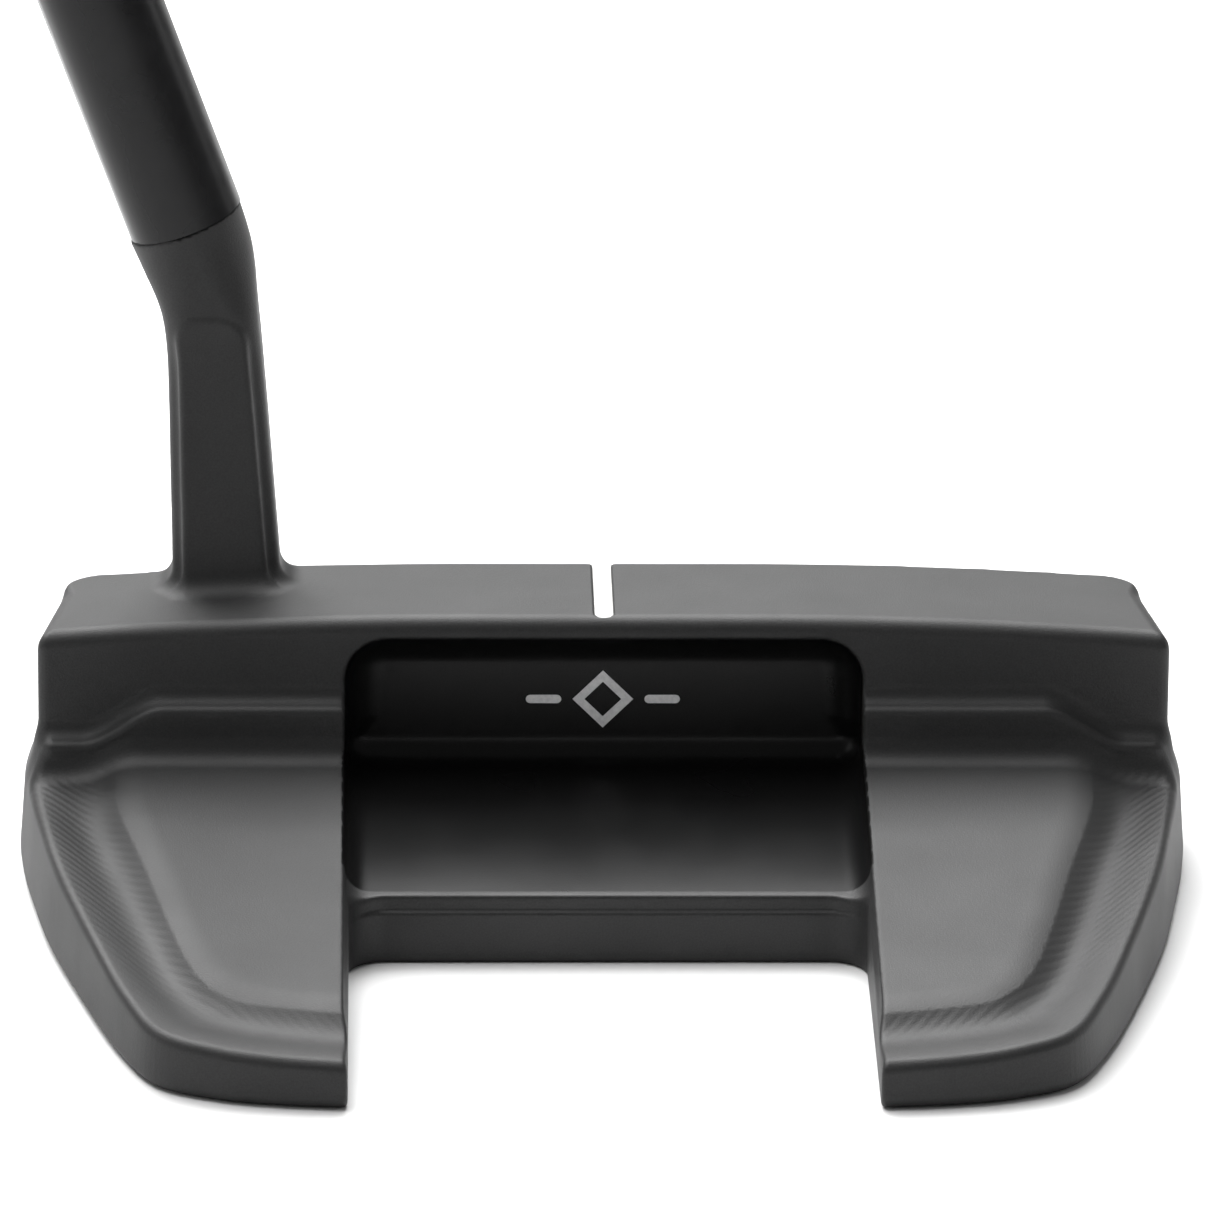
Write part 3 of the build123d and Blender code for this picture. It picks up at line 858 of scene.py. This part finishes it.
def head_material(name, base, rough, ior, grain_depth):
    """Black-coated steel: a fine grain, long cutter passes, and diagonal passes where they're painted."""
    m = Material(name, base, rough, ior=ior)
    grain = m.noise(0.16, 3.0)
    cloud = m.noise(9.0, 2.0)
    m.colours(grain, (0.3, tuple(0.75 * c for c in base)), (0.7, tuple(1.35 * c for c in base)))
    m.rough(m.remap(cloud, 0.3, 0.7, rough - 0.03, rough + 0.03))
    m.bump(grain, grain_depth)
    # Long fine passes of the cutter along X.
    m.bump(m.noise(0.22, 1.0, (60, 1, 1)), 0.0016)
    # Diagonal passes of the ball cutter in the coves.
    parts = m.node("ShaderNodeSeparateXYZ")
    m.link(m.place, parts.inputs[0])
    half = m.math("MULTIPLY", m.math("ABSOLUTE", parts.outputs["X"]), pass_direction[0])
    across = m.math("SUBTRACT", half, m.math("MULTIPLY", parts.outputs["Y"], pass_direction[1]))
    wave = m.math("SINE", m.math("MULTIPLY", across, 2 * math.pi / (pass_pitch * MM)))
    m.bump(m.math("MULTIPLY", wave, m.attribute("passes")), pass_depth)
    return m.made


def shaft_material():
    """Gloss black tube with a faint cloud in its finish."""
    m = Material("gloss_black_tube", (0.006, 0.006, 0.0065), 0.22, ior=1.32)
    m.colours(m.noise(6.0, 3.0), (0.3, (0.005, 0.005, 0.0055)), (0.75, (0.009, 0.009, 0.0095)))
    m.rough(m.remap(m.noise(1.2, 4.0), 0.3, 0.7, 0.19, 0.26))
    m.bump(m.noise(0.5, 2.0), 0.0008)
    return m.made


def paint_material(name, dark, light, rough_low, rough_high):
    """Paint laid in a groove, slightly uneven."""
    m = Material(name, light, rough_low)
    m.colours(m.noise(0.35, 3.0), (0.3, dark), (0.7, light))
    m.rough(m.remap(m.noise(0.8, 3.0), 0.3, 0.7, rough_low, rough_high))
    m.bump(m.noise(0.25, 2.0), 0.004)
    return m.made


def steel_material():
    """Turned steel with fine marks."""
    m = Material("turned_steel", (0.5, 0.5, 0.5), 0.3, metallic=1.0)
    m.colours(m.noise(2.5, 4.0), (0.3, (0.40, 0.40, 0.41)), (0.7, (0.56, 0.56, 0.55)))
    m.rough(m.remap(m.noise(0.4, 3.0, (1, 1, 0.2)), 0.3, 0.7, 0.24, 0.38))
    m.bump(m.noise(0.12, 1.0, (8, 8, 1)), 0.0015)
    return m.made


def soft_material(name, dark, light, rough, grain_mm, depth_mm):
    """Rubber, nylon, resin or paper: a mottled colour and a grain of the size given."""
    m = Material(name, light, rough)
    m.colours(m.noise(grain_mm * 6, 4.0), (0.3, dark), (0.7, light))
    m.rough(m.remap(m.noise(grain_mm * 3, 3.0), 0.3, 0.7, rough - 0.07, rough + 0.07))
    m.bump(m.noise(grain_mm, 3.0), depth_mm)
    return m.made


def band_material():
    """A satin film with plain rings at both ends."""
    m = Material("band_film", (0.2, 0.2, 0.21), 0.35)
    along = m.node("ShaderNodeVectorMath", operation="DOT_PRODUCT")
    m.link(m.place, along.inputs[0])
    along.inputs[1].default_value = tuple(shaft_dir)
    foot = float(shaft_foot @ shaft_dir)
    start, end = (foot + band_start) * MM, (foot + band_end) * MM
    share = m.remap(along.outputs["Value"], start, end, 0.0, 1.0)
    dark, pale = (0.05, 0.05, 0.055), (0.42, 0.42, 0.43)
    stops = [(0.0, dark), (0.05, pale), (0.09, dark), (0.91, pale), (0.95, dark)]
    m.colours(share, *stops)
    m.tree.nodes["Color Ramp"].color_ramp.interpolation = "CONSTANT"
    m.rough(m.remap(m.noise(0.7, 3.0), 0.3, 0.7, 0.28, 0.42))
    m.bump(m.noise(0.3, 2.0), 0.002)
    return m.made


def coat(obj, material):
    """Gives a piece or a CAD node one material."""
    if not obj.material_slots:
        obj.data.materials.append(material)
    for place in obj.material_slots:
        place.material = material


# ------------------------------------------------------------------ the pieces
head = head_mesh()
paint_head(head.data)
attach(head, "club")
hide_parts("putter_head")
# The second material is the one that paint_head gives to the milled faces: smoother like a milled finish,
# with a darker base colour and lower IOR that paint shade into the room.
blasted = head_material("black_blasted_steel", (0.013, 0.013, 0.0132), 0.54, 1.44, 0.022)
milled_with_painted_shade = head_material("black_milled_steel_painted_shade", (0.005, 0.005, 0.0051), 0.30, 1.27, 0.005)
head.data.materials.append(blasted)
head.data.materials.append(milled_with_painted_shade)

steel = steel_material()
coat(weight_mesh("heel_weight_screw", -1), steel)
coat(weight_mesh("toe_weight_screw", 1), steel)
sleeve_rubber = soft_material("grip_rubber", (0.018, 0.018, 0.018), (0.035, 0.035, 0.036), 0.62, 0.25, 0.02)
cap_rubber = soft_material("cap_rubber", (0.02, 0.02, 0.02), (0.04, 0.04, 0.04), 0.55, 0.3, 0.012)
coat(grip_mesh(), sleeve_rubber)
coat(cap_mesh(), cap_rubber)

coat(nodes["shaft_tube"], shaft_material())
coat(nodes["shaft_band"], band_material())
white_paint = paint_material("white_paint", (0.50, 0.50, 0.49), (0.60, 0.60, 0.59), 0.45, 0.6)
silver_paint = paint_material("silver_paint", (0.74, 0.74, 0.75), (0.9, 0.9, 0.9), 0.35, 0.5)
coat(nodes["sight_line_fill"], white_paint)
coat(nodes["cavity_mark_fill"], silver_paint)
nylon = soft_material("nylon", (0.66, 0.65, 0.6), (0.78, 0.77, 0.73), 0.55, 0.4, 0.006)
for washer in ("heel_weight_washer", "toe_weight_washer"):
    coat(nodes[washer], nylon)
epoxy = soft_material("epoxy", (0.3, 0.26, 0.17), (0.45, 0.4, 0.28), 0.3, 0.8, 0.01)
paper_tape = soft_material("paper_tape", (0.6, 0.56, 0.46), (0.74, 0.7, 0.6), 0.85, 0.3, 0.02)
coat(nodes["hosel_adhesive"], epoxy)
coat(nodes["grip_tape"], paper_tape)


# ------------------------------------------------------------------ stage, lights and camera
def aim(obj, position, target):
    obj.location = position
    obj.rotation_euler = (Vector(target) - Vector(position)).to_track_quat("-Z", "Y").to_euler()


def softbox(name, position, target, size, power):
    """A rectangular lamp that the camera doesn't see. Sizes in metres, power in watts."""
    lamp = bpy.data.lights.new(name, "AREA")
    lamp.shape = "RECTANGLE"
    lamp.size, lamp.size_y = size
    lamp.energy = power
    made = bpy.data.objects.new(name, lamp)
    scene.collection.objects.link(made)
    aim(made, position, target)
    made.visible_camera = False
    return made


def stage():
    """A white paper floor."""
    bpy.ops.mesh.primitive_plane_add(size=12)
    floor = bpy.context.object
    floor.name = "floor"
    paper = bpy.data.materials.new("white_paper")
    paper.use_nodes = True
    shader = paper.node_tree.nodes["Principled BSDF"]
    shader.inputs["Base Color"].default_value = (0.76, 0.76, 0.76, 1)
    shader.inputs["Roughness"].default_value = 0.9
    shader.inputs["Specular IOR Level"].default_value = 0.1
    floor.data.materials.append(paper)


def lights():
    world = bpy.data.worlds.new("studio")
    scene.world = world
    world.use_nodes = True
    world.node_tree.nodes["Background"].inputs["Color"].default_value = (0.9, 0.9, 0.9, 1)
    world.node_tree.nodes["Background"].inputs["Strength"].default_value = 0.25
    centre = (0.0, -0.01, 0.01)
    softbox("overhead", (-0.35, 0.3, 1.35), centre, (1.2, 1.2), 28)
    softbox("upper_back", (0.02, 0.78, 1.16), centre, (1.0, 0.9), 22)
    softbox("backdrop", (-0.05, 2.6, 1.0), centre, (1.5, 1.0), 6)
    softbox("left_back", (-0.66, 1.03, 0.80), centre, (0.6, 0.6), 8)
    softbox("left", (-1.3, -0.3, 0.5), centre, (0.9, 0.8), 2)
    softbox("right", (1.35, 0.45, 0.4), centre, (0.5, 0.5), 1.2)


def camera():
    """The photo's camera, solved from the straight edges of the slot and from the shaft's end."""
    lens = bpy.data.cameras.new("camera")
    lens.sensor_width = 36.0
    lens.lens = 350.9
    lens.clip_start = 0.01
    made = bpy.data.objects.new("camera", lens)
    scene.collection.objects.link(made)
    elevation, azimuth, roll = math.radians(20.0), math.radians(-1.194), math.radians(0.435)
    forward = Vector((
        -math.sin(azimuth) * math.cos(elevation),
        math.cos(azimuth) * math.cos(elevation),
        -math.sin(elevation),
    ))
    level = Vector((math.cos(azimuth), math.sin(azimuth), 0))
    upward = level.cross(forward)
    right = level * math.cos(roll) + upward * math.sin(roll)
    up = upward * math.cos(roll) - level * math.sin(roll)
    turn = Matrix((right, up, -forward)).transposed().to_4x4()
    turn.translation = Vector((-19.75, -952.43, 372.83)) * MM
    made.matrix_world = turn
    scene.camera = made


stage()
lights()
camera()
scene.view_settings.view_transform = "Standard"
scene.view_settings.look = "None"
